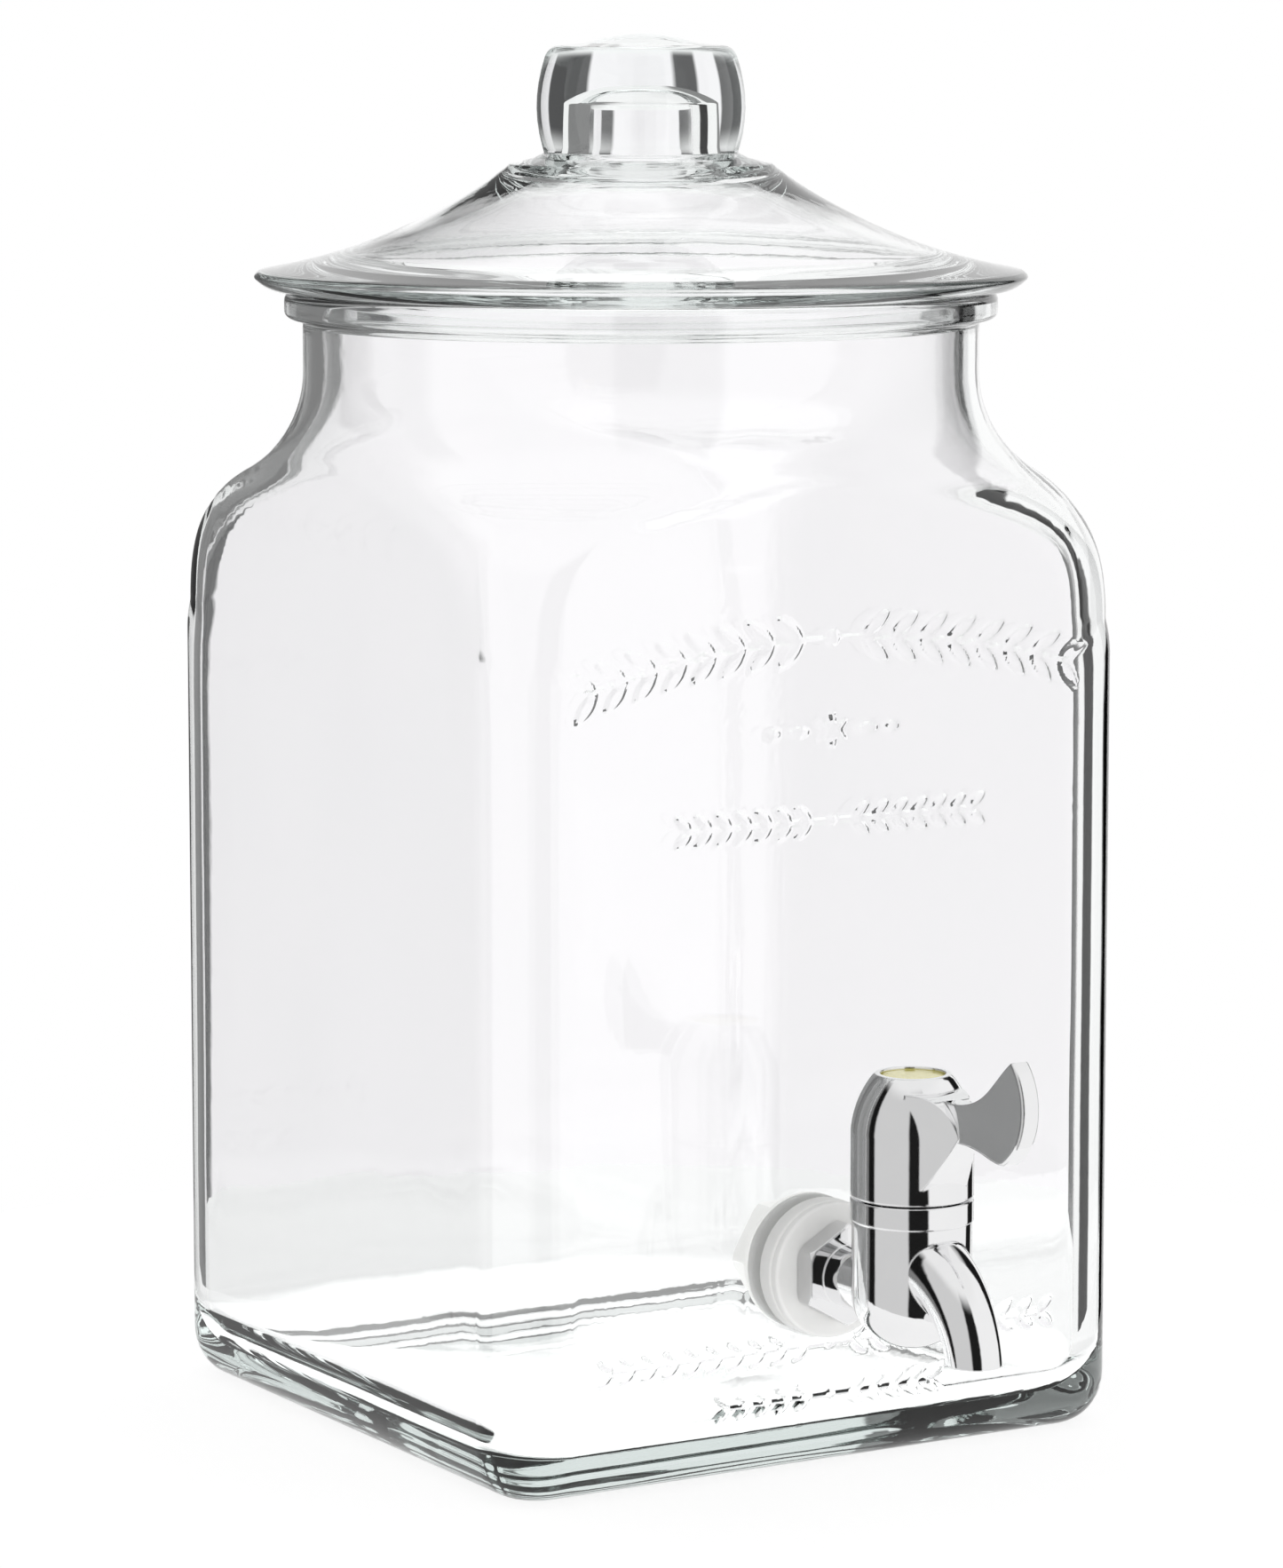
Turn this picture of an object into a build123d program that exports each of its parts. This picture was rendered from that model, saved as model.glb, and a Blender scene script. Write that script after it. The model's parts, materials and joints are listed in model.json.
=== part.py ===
"""Square-shouldered glass dispenser jar with a lift-off glass lid and a quarter-turn spigot.

Frame: origin at the middle of the base, +Z up, the spigot and the ornamented face look along -Y.
All lengths are millimetres.
"""
from build123d import *
import math
import os

# ---- jar ----
BODY_HALF = 82.0             # half the width of the square body
CORNER_RADIUS = 15.0         # vertical edges of the body
WALL = 4.6
FLOOR_THICKNESS = 9.0
FOOT_RADIUS = 10.0           # rounding of the bottom edges
NECK_RADIUS = 77.8           # outside of the round neck
FLARE_RADIUS = 27.0          # concave sweep from the neck
FLARE_START_Z = 242.0
SHOULDER_RADIUS = 37.0       # convex sweep down to the corners
SWEEP_ANGLE = 60.0           # degrees turned by each of the two sweeps
RIM_RADIUS = 82.0            # bead around the mouth
RIM_BOTTOM_Z = 254.0
RIM_ROUND = 1.8
JAR_HEIGHT = 260.0

# ---- lid ----
LIP_RADIUS = 88.9
LID_SEAT_Z = 260.3           # flat underside, just above the rim
LIP_UNDER = [(82.8, LID_SEAT_Z), (86.4, 261.2), (LIP_RADIUS, 263.3)]   # (radius, height)
LIP_TOP_EDGE = (87.9, 264.6)
LOCATING_RING_RADIUS = 72.2  # drops inside the neck
LOCATING_RING_WIDTH = 3.6
LOCATING_RING_BOTTOM_Z = 252.3
DOME_TOP = [LIP_TOP_EDGE, (58.5, 273.0), (31.0, 288.2)]
DOME_UNDER = [(29.0, 283.8), (49.0, 273.2), (LOCATING_RING_RADIUS - LOCATING_RING_WIDTH, 264.9)]
KNOB_STEP = (30.2, 289.0)    # flat ring around the knob's foot
KNOB_FOOT = (22.2, 291.5)
KNOB_SIDE = [KNOB_FOOT, (23.9, 304.0), (22.2, 312.6)]
KNOB_SHOULDER = [KNOB_SIDE[-1], (21.2, 315.0), (18.0, 316.1)]
LID_TOP_Z = 318.8
KNOB_CROWN = [(12.6, 316.6), (6.5, 318.2), (0, LID_TOP_Z)]
KNOB_HOLLOW_TOP = [(0, 306.2), (7.6, 305.3), (11.4, 302.4)]
KNOB_HOLLOW = [KNOB_HOLLOW_TOP[-1], (12.2, 290.5), (15.4, 286.2), (19.5, 284.4), DOME_UNDER[0]]

# ---- spigot: on the shank ----
SPIGOT_X = -3.4              # the hole in the glass is a little off the middle
STANDOFF = 38.2              # barrel axis in front of the glass
SHANK_Z = 47.4
SHANK_RADIUS = 7.9
SHANK_BORE_RADIUS = 3.8
SHANK_INNER_LENGTH = 17.5    # shank standing inside the jar's wall
HOLE_RADIUS = 8.25           # hole through the glass
NECK_TUBE_RADIUS = 7.0       # polished neck between the hex flange and the barrel
THREAD_DEPTH = 0.7
THREAD_PITCH = 2.5
THREAD_RUN_OUT = 1.5         # plain shank at each end of the thread
RIDGE_SHARE = 0.7            # width of a thread ridge against the pitch
WASHER_RADIUS = 15.3
OUTER_GASKET_THICKNESS = 4.8
OUTER_WASHER_THICKNESS = 2.7
HEX_THICKNESS = 6.0
HEX_FLATS = 20.0
HEX_CORNER_CHAMFER = 1.1
INNER_GASKET_THICKNESS = 2.4
INNER_WASHER_THICKNESS = 1.2
NUT_THICKNESS = 8.0
NUT_FLATS = 24.0

# ---- spigot: barrel and spout ----
BARREL_RADIUS = 13.1
DOME_BOTTOM_Z = 36.4
DOME_TOP_Z = 48.3
COLLAR_BOTTOM_Z = 64.5
COLLAR_TOP_Z = 69.5
NECK_THREAD_RADIUS = 11.2    # body's upper neck, inside the collar
NECK_THREAD_TOP_Z = 66.3
SPOUT_PATH = [(3.0, 56.2), (17.3, 50.4), (24.4, 37.2)]   # (forward, height)
SPOUT_RADII = (9.0, 7.0, 6.1)  # at the root, half way and at the mouth
SPOUT_MOUTH_RADIUS = 4.7
SPOUT_MOUTH_DEPTH = 5.0
CHANNEL_PATH = [(5.5, SHANK_Z), (15.0, 51.0), (21.4, 45.4), (24.0, 39.0)]
CHANNEL_RADIUS = 3.2

# ---- spigot: valve ----
VALVE_BORE_RADIUS = 7.2
VALVE_BORE_BOTTOM_Z = 42.0
FLANGE_BORE_RADIUS = 10.3
FLANGE_BORE_BOTTOM_Z = 61.0
RUNNING_CLEARANCE = 0.06
SEAT_SEAL_RADIUS = 5.3
SEAT_SEAL_REACH = 9.4        # from the barrel's axis to the seal's outer end
FLANGE_TOP_Z = 64.0
STEM_RADIUS = 6.4
DRIVE_SQUARE = 9.0
DRIVE_TOP_Z = 84.0
PORT_RADIUS = 3.6
O_RING_SECTION = 0.9         # cord radius
O_RING_LEVELS = {"plug_o_ring_lower": 54.4, "plug_o_ring_upper": 58.2}
SLIP_WASHER_TOP_Z = 66.3

# ---- spigot: bonnet and lever ----
BONNET_RADIUS = 13.45        # collar and bonnet
BONNET_EDGE = 0.4
BONNET_BOTTOM_Z = 69.8
BONNET_TOP_Z = 96.8
BONNET_RING = (8.9, 96.2)    # (radius, height) of the ring around the disc
BONNET_RING_BEVEL = 0.6
BONNET_SHOULDER = [(BONNET_RADIUS, 84.5), (12.1, 90.4), BONNET_RING]
LEVER_THICKNESS = 4.4
LEVER_EDGE_ROUND = 0.7
LEVER_ROOT = 6.0             # the lever and its boss start this far from the axis
LEVER_TOP = [(17.0, 93.2), (23.2, 93.8), (29.7, 96.4), (34.7, 100.5), (40.6, 105.6)]   # (forward, height)
LEVER_END = [LEVER_TOP[-1], (45.0, 95.6), (37.6, 83.0)]
LEVER_LOW = [LEVER_END[-1], (33.5, 83.4), (28.5, 84.5), (23.5, 85.0), (17.0, 84.6)]
BOSS_TOP = [(10.5, 93.9), (18.6, 90.6), (21.2, 86.0)]
BOSS_LOW = [BOSS_TOP[-1], (17.8, 80.6), (12.4, 73.6)]
BOSS_PLAN = [(-7.6, -8.0), (-2.25, -21.6), (2.25, -21.6), (7.6, -8.0)]   # seen from above
DISC_RADIUS = 7.2
DISC_THICKNESS = 1.6
DISC_SEAT_Z = 94.6
DISC_LEDGE = 1.5             # ledge under the disc
WEB_TOP_Z = 87.0             # web of the bonnet that the screw clamps
SCREW_RADIUS = 1.5
SCREW_LENGTH = 12.0          # below the top of the drive square
SCREW_HEAD_RADIUS = 3.0
SCREW_HEAD_HEIGHT = 2.2
SCREW_WASHER_THICKNESS = 0.6

# ---- places that follow from the sizes above ----
GLASS_FACE_Y = -BODY_HALF
AXIS_Y = GLASS_FACE_Y - STANDOFF
AXIS = (SPIGOT_X, AXIS_Y)
SIDE_PLANE = Plane(origin=(SPIGOT_X, AXIS_Y, 0), x_dir=(0, -1, 0), z_dir=(-1, 0, 0))
FLANGE_OUT = OUTER_GASKET_THICKNESS + OUTER_WASHER_THICKNESS
INNER_FACE = -WALL
INNER_WASHER_FACE = INNER_FACE - INNER_GASKET_THICKNESS
NUT_FACE = INNER_WASHER_FACE - INNER_WASHER_THICKNESS


# ---- shapes used more than once ----
def turned(profile, centre=(0, 0)):
    """Revolve an XZ outline about the upright axis through centre."""
    return Pos(*centre, 0) * revolve(make_face(Plane.XZ * profile), Axis.Z)


def disc(radius, z_low, z_high, centre=AXIS):
    return Pos(*centre, (z_low + z_high) / 2) * Cylinder(radius, z_high - z_low)


def ring(outer, inner, z_low, z_high, centre=AXIS):
    return disc(outer, z_low, z_high, centre) - disc(inner, z_low, z_high, centre)


def block(side, z_low, z_high):
    """Upright square block on the spigot's axis."""
    return Pos(*AXIS, (z_low + z_high) / 2) * Box(side, side, z_high - z_low)


def outermost(shape):
    """The circles of the largest radius."""
    return shape.edges().filter_by(GeomType.CIRCLE).group_by(SortBy.RADIUS)[-1]


def along_shank(shape, out_low, out_high):
    """Turn a Z-centred shape of that length to lie along the shank, measured out from the glass."""
    middle_y = GLASS_FACE_Y - (out_low + out_high) / 2
    return Pos(SPIGOT_X, middle_y, SHANK_Z) * Rot(90, 0, 0) * shape


def shank_disc(radius, out_low, out_high):
    return along_shank(Cylinder(radius, out_high - out_low), out_low, out_high)


def shank_ring(outer, inner, out_low, out_high, edge_round=0.0):
    tube = Cylinder(outer, out_high - out_low) - Cylinder(inner, out_high - out_low)
    if edge_round:
        tube = fillet(outermost(tube), edge_round)
    return along_shank(tube, out_low, out_high)


def shank_washer(out_low, out_high, edge_round):
    return shank_ring(WASHER_RADIUS, SHANK_RADIUS, out_low, out_high, edge_round)


def hexagon_block(flats, thickness, turn, out_low):
    """Hexagonal block with its corners turned off, lying along the shank."""
    corner_radius = flats / math.sqrt(3)
    prism = extrude(Rot(0, 0, turn) * RegularPolygon(corner_radius, 6), thickness / 2, both=True)
    turning = Cylinder(corner_radius + 0.2, thickness)
    turning = chamfer(turning.edges().filter_by(GeomType.CIRCLE), HEX_CORNER_CHAMFER)
    return along_shank(prism & turning, out_low, out_low + thickness)


# ---- glass jar ----
def jar_envelope(inset):
    """The jar's skin, or the surface a given distance inside it."""
    side = 2 * (BODY_HALF - inset)
    prism = extrude(RectangleRounded(side, side, CORNER_RADIUS - inset), JAR_HEIGHT)
    neck = NECK_RADIUS - inset
    flare = FLARE_RADIUS + inset
    shoulder = SHOULDER_RADIUS - inset
    turn = math.radians(SWEEP_ANGLE)
    flare_end = (neck + flare * (1 - math.cos(turn)), FLARE_START_Z - flare * math.sin(turn))
    # the shoulder's arc ends upright, at the radius of its own centre plus its radius
    shoulder_end = (
        flare_end[0] + shoulder * (1 - math.cos(turn)),
        flare_end[1] - shoulder * math.sin(turn),
    )
    outline = (
        Line((neck, JAR_HEIGHT), (neck, FLARE_START_Z))
        + RadiusArc((neck, FLARE_START_Z), flare_end, -flare)
        + RadiusArc(flare_end, shoulder_end, shoulder)
        + Polyline(shoulder_end, (shoulder_end[0], 0), (0, 0), (0, JAR_HEIGHT), (neck, JAR_HEIGHT))
    )
    return prism & turned(outline)


def glass_jar():
    outer = jar_envelope(0)
    outer = fillet(outer.edges().group_by(Axis.Z)[0], FOOT_RADIUS)
    rim = ring(RIM_RADIUS, NECK_RADIUS - WALL, RIM_BOTTOM_Z, JAR_HEIGHT, (0, 0))
    rim = fillet(outermost(rim), RIM_ROUND)
    cavity = jar_envelope(WALL)
    cavity -= Pos(0, 0, FLOOR_THICKNESS / 2) * Box(2 * BODY_HALF, 2 * BODY_HALF, FLOOR_THICKNESS)
    cavity = fillet(cavity.edges().group_by(Axis.Z)[0], FOOT_RADIUS - WALL)
    return outer - cavity + rim - shank_disc(HOLE_RADIUS, -2 * WALL, WALL)


# ---- glass lid ----
def glass_lid():
    upper = (
        ThreePointArc(*LIP_UNDER)
        + Line(LIP_UNDER[-1], LIP_TOP_EDGE)
        + ThreePointArc(*DOME_TOP)
        + Polyline(DOME_TOP[-1], KNOB_STEP, KNOB_FOOT)
        + ThreePointArc(*KNOB_SIDE)
        + ThreePointArc(*KNOB_SHOULDER)
        + Line(KNOB_SHOULDER[-1], KNOB_CROWN[0])
        + Spline(KNOB_CROWN, tangents=[(-1, 0.32), (-1, 0)])
    )
    ring_inner = DOME_UNDER[-1][0]
    lower = (
        Line((0, LID_TOP_Z), KNOB_HOLLOW_TOP[0])
        + Spline(KNOB_HOLLOW_TOP, tangents=[(1, 0), (1, -1.4)])
        + Polyline(*KNOB_HOLLOW)
        + ThreePointArc(*DOME_UNDER)
        + Polyline(
            DOME_UNDER[-1],
            (ring_inner, LOCATING_RING_BOTTOM_Z + 1),
            (ring_inner + 1, LOCATING_RING_BOTTOM_Z),
            (LOCATING_RING_RADIUS - 0.6, LOCATING_RING_BOTTOM_Z),
            (LOCATING_RING_RADIUS, LID_SEAT_Z),
            LIP_UNDER[0],
        )
    )
    return turned(upper + lower)


# ---- spigot body ----
def threaded_shank():
    """Shank with ring ridges standing for its thread inside the jar."""
    inner_end = -WALL - SHANK_INNER_LENGTH
    shank = shank_disc(SHANK_RADIUS, -WALL - 1, FLANGE_OUT)
    shank += shank_disc(SHANK_RADIUS - THREAD_DEPTH, inner_end, 0)
    ridge_width = THREAD_PITCH * RIDGE_SHARE
    ridge = Cylinder(SHANK_RADIUS, ridge_width)
    ridge = chamfer(ridge.edges().filter_by(GeomType.CIRCLE), THREAD_DEPTH * 0.8)
    for index in range(int((SHANK_INNER_LENGTH - THREAD_RUN_OUT) / THREAD_PITCH)):
        start = -WALL - THREAD_RUN_OUT - (index + 1) * THREAD_PITCH
        shank += along_shank(ridge, start, start + ridge_width)
    return shank


def spout():
    """Curved spout, narrowing to its mouth, which is cut level."""
    path = SIDE_PLANE * ThreePointArc(*SPOUT_PATH)
    sections = []
    for index, radius in enumerate(SPOUT_RADII):
        share = index / (len(SPOUT_RADII) - 1)
        sections.append(Plane(path @ share, z_dir=path % share) * Circle(radius))
    tube = sweep(sections, path=path, multisection=True)
    tube += extrude(Plane(path @ 1, z_dir=path % 1) * Circle(SPOUT_RADII[-1]), SPOUT_MOUTH_DEPTH)
    mouth_forward, mouth_z = SPOUT_PATH[-1]
    below = Pos(SPIGOT_X, AXIS_Y - mouth_forward, mouth_z - 10) * Box(40, 30, 20)
    return tube - below


def spout_mouth():
    """What the mouth takes out of the spout's end."""
    path = SIDE_PLANE * ThreePointArc(*SPOUT_PATH)
    start = path @ 1 - (path % 1) * SPOUT_MOUTH_DEPTH
    return extrude(Plane(start, z_dir=path % 1) * Circle(SPOUT_MOUTH_RADIUS), 2.4 * SPOUT_MOUTH_DEPTH)


def barrel():
    """Upright barrel with a domed underside."""
    drop = DOME_TOP_Z - DOME_BOTTOM_Z
    dome_middle = (BARREL_RADIUS * math.sqrt(0.5), DOME_TOP_Z - drop * math.sqrt(0.5))
    dome = Spline(
        [(BARREL_RADIUS, DOME_TOP_Z), dome_middle, (0, DOME_BOTTOM_Z)],
        tangents=[(0, -1), (-1, 0)],
    )
    sides = Polyline(
        (0, DOME_BOTTOM_Z), (0, COLLAR_BOTTOM_Z), (BARREL_RADIUS, COLLAR_BOTTOM_Z),
        (BARREL_RADIUS, DOME_TOP_Z),
    )
    return turned(sides + dome, AXIS)


def spigot_body():
    body = barrel()
    body += disc(NECK_THREAD_RADIUS, COLLAR_BOTTOM_Z, NECK_THREAD_TOP_Z)
    body += shank_disc(NECK_TUBE_RADIUS, FLANGE_OUT, STANDOFF)
    body += hexagon_block(HEX_FLATS, HEX_THICKNESS, 30, FLANGE_OUT)
    body += threaded_shank()
    body += spout()
    body -= spout_mouth()
    body -= disc(VALVE_BORE_RADIUS, VALVE_BORE_BOTTOM_Z, NECK_THREAD_TOP_Z)
    body -= disc(FLANGE_BORE_RADIUS, FLANGE_BORE_BOTTOM_Z, NECK_THREAD_TOP_Z)
    body -= shank_disc(SHANK_BORE_RADIUS, -WALL - SHANK_INNER_LENGTH, STANDOFF)
    body -= shank_disc(SEAT_SEAL_RADIUS, STANDOFF - SEAT_SEAL_REACH, STANDOFF)
    channel = SIDE_PLANE * Spline(CHANNEL_PATH)
    body -= sweep(Plane(channel @ 0, z_dir=channel % 0) * Circle(CHANNEL_RADIUS), path=channel)
    return body


def port_seat_seal():
    """Ring around the inlet with a saddle face that meets the plug."""
    seal = shank_ring(SEAT_SEAL_RADIUS, SHANK_BORE_RADIUS, STANDOFF - SEAT_SEAL_REACH, STANDOFF)
    return seal - disc(VALVE_BORE_RADIUS, 0, NECK_THREAD_TOP_Z)


def retaining_collar():
    collar = ring(BONNET_RADIUS, STEM_RADIUS + 0.2, COLLAR_BOTTOM_Z, COLLAR_TOP_Z)
    collar = fillet(outermost(collar), BONNET_EDGE)
    return collar - disc(NECK_THREAD_RADIUS, COLLAR_BOTTOM_Z, NECK_THREAD_TOP_Z)


def slip_washer():
    return ring(FLANGE_BORE_RADIUS - 0.1, STEM_RADIUS + 0.1, FLANGE_TOP_Z + 0.1, SLIP_WASHER_TOP_Z)


# ---- spigot: turning parts ----
def o_ring_at(level):
    centre_radius = VALVE_BORE_RADIUS - O_RING_SECTION - 0.02
    return Pos(*AXIS, level) * Torus(centre_radius, O_RING_SECTION)


def valve_plug():
    plug_radius = VALVE_BORE_RADIUS - RUNNING_CLEARANCE
    flange_bottom = FLANGE_BORE_BOTTOM_Z + RUNNING_CLEARANCE
    plug = disc(plug_radius, VALVE_BORE_BOTTOM_Z + 0.1, flange_bottom + 1)
    plug += disc(FLANGE_BORE_RADIUS - 0.1, flange_bottom, FLANGE_TOP_Z)
    plug += disc(STEM_RADIUS, FLANGE_TOP_Z, BONNET_BOTTOM_Z)
    plug += block(DRIVE_SQUARE, BONNET_BOTTOM_Z, DRIVE_TOP_Z)
    cross_port = Rot(0, 90, 0) * Cylinder(PORT_RADIUS, 4 * VALVE_BORE_RADIUS)
    plug -= Pos(*AXIS, SHANK_Z) * cross_port
    plug -= disc(SCREW_RADIUS, DRIVE_TOP_Z - SCREW_LENGTH, DRIVE_TOP_Z)
    for level in O_RING_LEVELS.values():
        plug -= o_ring_at(level)
    return plug


def lever_paddle():
    """Fan-shaped paddle on a short neck, tipped up a little."""
    outline = (
        Polyline(LEVER_LOW[-1], (LEVER_ROOT, LEVER_LOW[-1][1]), (LEVER_ROOT, LEVER_TOP[0][1]), LEVER_TOP[0])
        + Spline(LEVER_TOP)
        + ThreePointArc(*LEVER_END)
        + Spline(LEVER_LOW)
    )
    paddle = extrude(SIDE_PLANE * make_face(outline), LEVER_THICKNESS / 2, both=True)
    return fillet(paddle.edges().filter_by(Plane.YZ).group_by(Axis.Y)[0], LEVER_EDGE_ROUND)


def lever_boss():
    """Pear-shaped root that carries the paddle on the bonnet, tapering in plan."""
    outline = (
        Polyline(BOSS_LOW[-1], (LEVER_ROOT, BOSS_LOW[-1][1]), (LEVER_ROOT, BOSS_TOP[0][1]), BOSS_TOP[0])
        + ThreePointArc(*BOSS_TOP)
        + ThreePointArc(*BOSS_LOW)
    )
    boss = extrude(SIDE_PLANE * make_face(outline), 2 * LEVER_THICKNESS, both=True)
    plan = extrude(Polygon(*BOSS_PLAN, align=None), BONNET_TOP_Z - BONNET_BOTTOM_Z)
    return boss & Pos(*AXIS, BONNET_BOTTOM_Z) * plan


def lever_bonnet():
    ring_edge = BONNET_RING[0] - BONNET_RING_BEVEL
    outline = (
        Polyline(
            BONNET_RING, (ring_edge, BONNET_TOP_Z), (0, BONNET_TOP_Z), (0, BONNET_BOTTOM_Z),
            (BONNET_RADIUS - BONNET_EDGE, BONNET_BOTTOM_Z),
            (BONNET_RADIUS, BONNET_BOTTOM_Z + BONNET_EDGE), BONNET_SHOULDER[0],
        )
        + ThreePointArc(*BONNET_SHOULDER)
    )
    bonnet = turned(outline, AXIS)
    bonnet += lever_paddle()
    bonnet += lever_boss()
    bonnet -= block(DRIVE_SQUARE, BONNET_BOTTOM_Z, DRIVE_TOP_Z)
    bonnet -= disc(SCREW_RADIUS, DRIVE_TOP_Z, WEB_TOP_Z)
    bonnet -= disc(DISC_RADIUS - DISC_LEDGE, WEB_TOP_Z, DISC_SEAT_Z)
    bonnet -= disc(DISC_RADIUS, DISC_SEAT_Z, BONNET_TOP_Z)
    return bonnet


def cap_disc():
    plate = disc(DISC_RADIUS, DISC_SEAT_Z, DISC_SEAT_Z + DISC_THICKNESS)
    return fillet(plate.edges().group_by(Axis.Z)[-1], 0.5)


def screw_washer():
    return ring(SCREW_HEAD_RADIUS + 0.7, SCREW_RADIUS, WEB_TOP_Z, WEB_TOP_Z + SCREW_WASHER_THICKNESS)


def bonnet_screw():
    head_z = WEB_TOP_Z + SCREW_WASHER_THICKNESS
    head_top = head_z + SCREW_HEAD_HEIGHT
    head = disc(SCREW_HEAD_RADIUS, head_z, head_top)
    head = fillet(head.edges().group_by(Axis.Z)[-1], 0.8)
    cross = Box(0.7, 4.0, 2.0) + Box(4.0, 0.7, 2.0)
    return disc(SCREW_RADIUS, DRIVE_TOP_Z - SCREW_LENGTH, head_z) + head - Pos(*AXIS, head_top) * cross


def lock_nut():
    nut = hexagon_block(NUT_FLATS, NUT_THICKNESS, 0, NUT_FACE - NUT_THICKNESS)
    return nut - shank_disc(SHANK_RADIUS, NUT_FACE - NUT_THICKNESS, NUT_FACE)


def all_pieces():
    shapes = {
        "glass_jar": glass_jar(),
        "glass_lid": glass_lid(),
        "spigot_body": spigot_body(),
        "port_seat_seal": port_seat_seal(),
        "retaining_collar": retaining_collar(),
        "slip_washer": slip_washer(),
        "valve_plug": valve_plug(),
        "lever_bonnet": lever_bonnet(),
        "screw_washer": screw_washer(),
        "bonnet_screw": bonnet_screw(),
        "cap_disc": cap_disc(),
        "outer_gasket": shank_washer(0, OUTER_GASKET_THICKNESS, 0.8),
        "outer_washer": shank_washer(OUTER_GASKET_THICKNESS, FLANGE_OUT, 0.8),
        "inner_gasket": shank_washer(INNER_WASHER_FACE, INNER_FACE, 0.6),
        "inner_washer": shank_washer(NUT_FACE, INNER_WASHER_FACE, 0.4),
        "lock_nut": lock_nut(),
    }
    for name, level in O_RING_LEVELS.items():
        shapes[name] = o_ring_at(level)
    return shapes


os.makedirs("parts", exist_ok=True)
for name, shape in all_pieces().items():
    export_step(shape, "parts/" + name + ".step")
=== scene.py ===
"""Looks for the glass dispenser jar: clear pressed glass, a mirror-chromed spigot and pale washers.

The glass jar and lid are rebuilt as smooth, dense meshes. The spigot's CAD nodes stay and get their
materials.
Lengths are metres. The jar stands on z = 0, its ornament and spigot face -Y.
"""
import json
import math

import bmesh
import bpy
import numpy as np
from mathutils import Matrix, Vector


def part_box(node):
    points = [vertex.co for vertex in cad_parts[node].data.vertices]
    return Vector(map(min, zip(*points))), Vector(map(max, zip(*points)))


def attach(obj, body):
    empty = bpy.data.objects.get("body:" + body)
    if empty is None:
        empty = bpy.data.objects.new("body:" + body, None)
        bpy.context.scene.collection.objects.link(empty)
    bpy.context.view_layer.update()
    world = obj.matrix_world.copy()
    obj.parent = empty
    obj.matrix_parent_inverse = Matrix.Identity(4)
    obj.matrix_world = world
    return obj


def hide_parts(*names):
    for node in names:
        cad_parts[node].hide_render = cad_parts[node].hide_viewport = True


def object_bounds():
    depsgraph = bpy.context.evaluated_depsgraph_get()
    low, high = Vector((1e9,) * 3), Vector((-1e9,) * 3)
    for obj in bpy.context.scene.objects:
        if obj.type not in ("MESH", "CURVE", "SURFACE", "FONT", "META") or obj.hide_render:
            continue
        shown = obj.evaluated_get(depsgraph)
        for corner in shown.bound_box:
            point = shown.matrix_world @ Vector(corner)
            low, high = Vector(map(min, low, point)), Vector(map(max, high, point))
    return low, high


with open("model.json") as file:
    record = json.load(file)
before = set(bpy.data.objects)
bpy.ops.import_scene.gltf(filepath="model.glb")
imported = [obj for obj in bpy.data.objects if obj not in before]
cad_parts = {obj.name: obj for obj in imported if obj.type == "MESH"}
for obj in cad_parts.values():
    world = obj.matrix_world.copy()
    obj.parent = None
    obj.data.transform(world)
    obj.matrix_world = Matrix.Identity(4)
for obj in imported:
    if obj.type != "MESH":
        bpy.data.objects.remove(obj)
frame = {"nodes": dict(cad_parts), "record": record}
cad_low, cad_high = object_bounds()
nodes = frame["nodes"]

MM = 0.001

# ---- places read from the frame ----
jar_low, jar_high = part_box("glass_jar")
lid_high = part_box("glass_lid")[1]
body_half = (jar_high.x - jar_low.x) / 2
gasket_low, gasket_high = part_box("outer_gasket")
hole_x = (gasket_low.x + gasket_high.x) / 2
hole_z = (gasket_low.z + gasket_high.z) / 2

# ---- jar, as in the CAD ----
CORNER = 15.0 * MM
WALL = 4.6 * MM
FLOOR = 9.0 * MM
FOOT = 10.0 * MM
FOOT_HEIGHT = 12.0 * MM
NECK = 77.8 * MM
FLARE = 27.0 * MM
FLARE_START = 242.0 * MM
SHOULDER = 37.0 * MM
SWEEP = math.radians(60)
HOLE = 8.25 * MM
BLEND = 5.0 * MM               # softness of the line where the shoulder meets the flat faces
FRONT_INNER_CORNER = 13.0 * MM # vertical corners inside; the front ones are left thicker
BACK_INNER_CORNER = 10.6 * MM
INNER_FILLET = 10.0 * MM       # round where the inside meets the floor
INNER_CORNER_PULL = 0.7        # share of the fillet's pull that tightens the inside corners
FLOOR_DOME = 0.8 * MM
FLOOR_WAVE = 0.22 * MM         # unevenness of the inside floor
PUSH_UP = 1.8 * MM             # hollow under the base
UNEVEN = 0.16 * MM             # of the pressed inner face
RAISED = 0.75 * MM             # height of the ornament
MARK_EDGE = 0.7 * MM           # width of the slope round each raised mark
STEM_WIDTH = 0.9 * MM
LEAF_LEAN = 38                 # degrees between a leaf and its stem
COLUMN_STEP = 0.6 * MM         # mesh spacing across the ornamented face
CONTACT_RELIEF = 0.02 * MM     # keeps the glass just clear of the washers

# ---- lid ----
LID_TOP = lid_high.z / MM - 0.1     # mm, a little under the CAD's top
LID_SOFTENING = 1.2                 # mm over which the lid's corners are rounded
LID_SEGMENTS = 256


# ---------------------------------------------------------------- mesh helpers
def mesh_object(name, verts, faces, smooth_angle=40):
    mesh = bpy.data.meshes.new(name)
    mesh.from_pydata([tuple(v) for v in verts], [], faces)
    mesh.validate()
    obj = bpy.data.objects.new(name, mesh)
    bpy.context.scene.collection.objects.link(obj)
    tidy_normals(obj, smooth_angle)
    return obj


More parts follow.
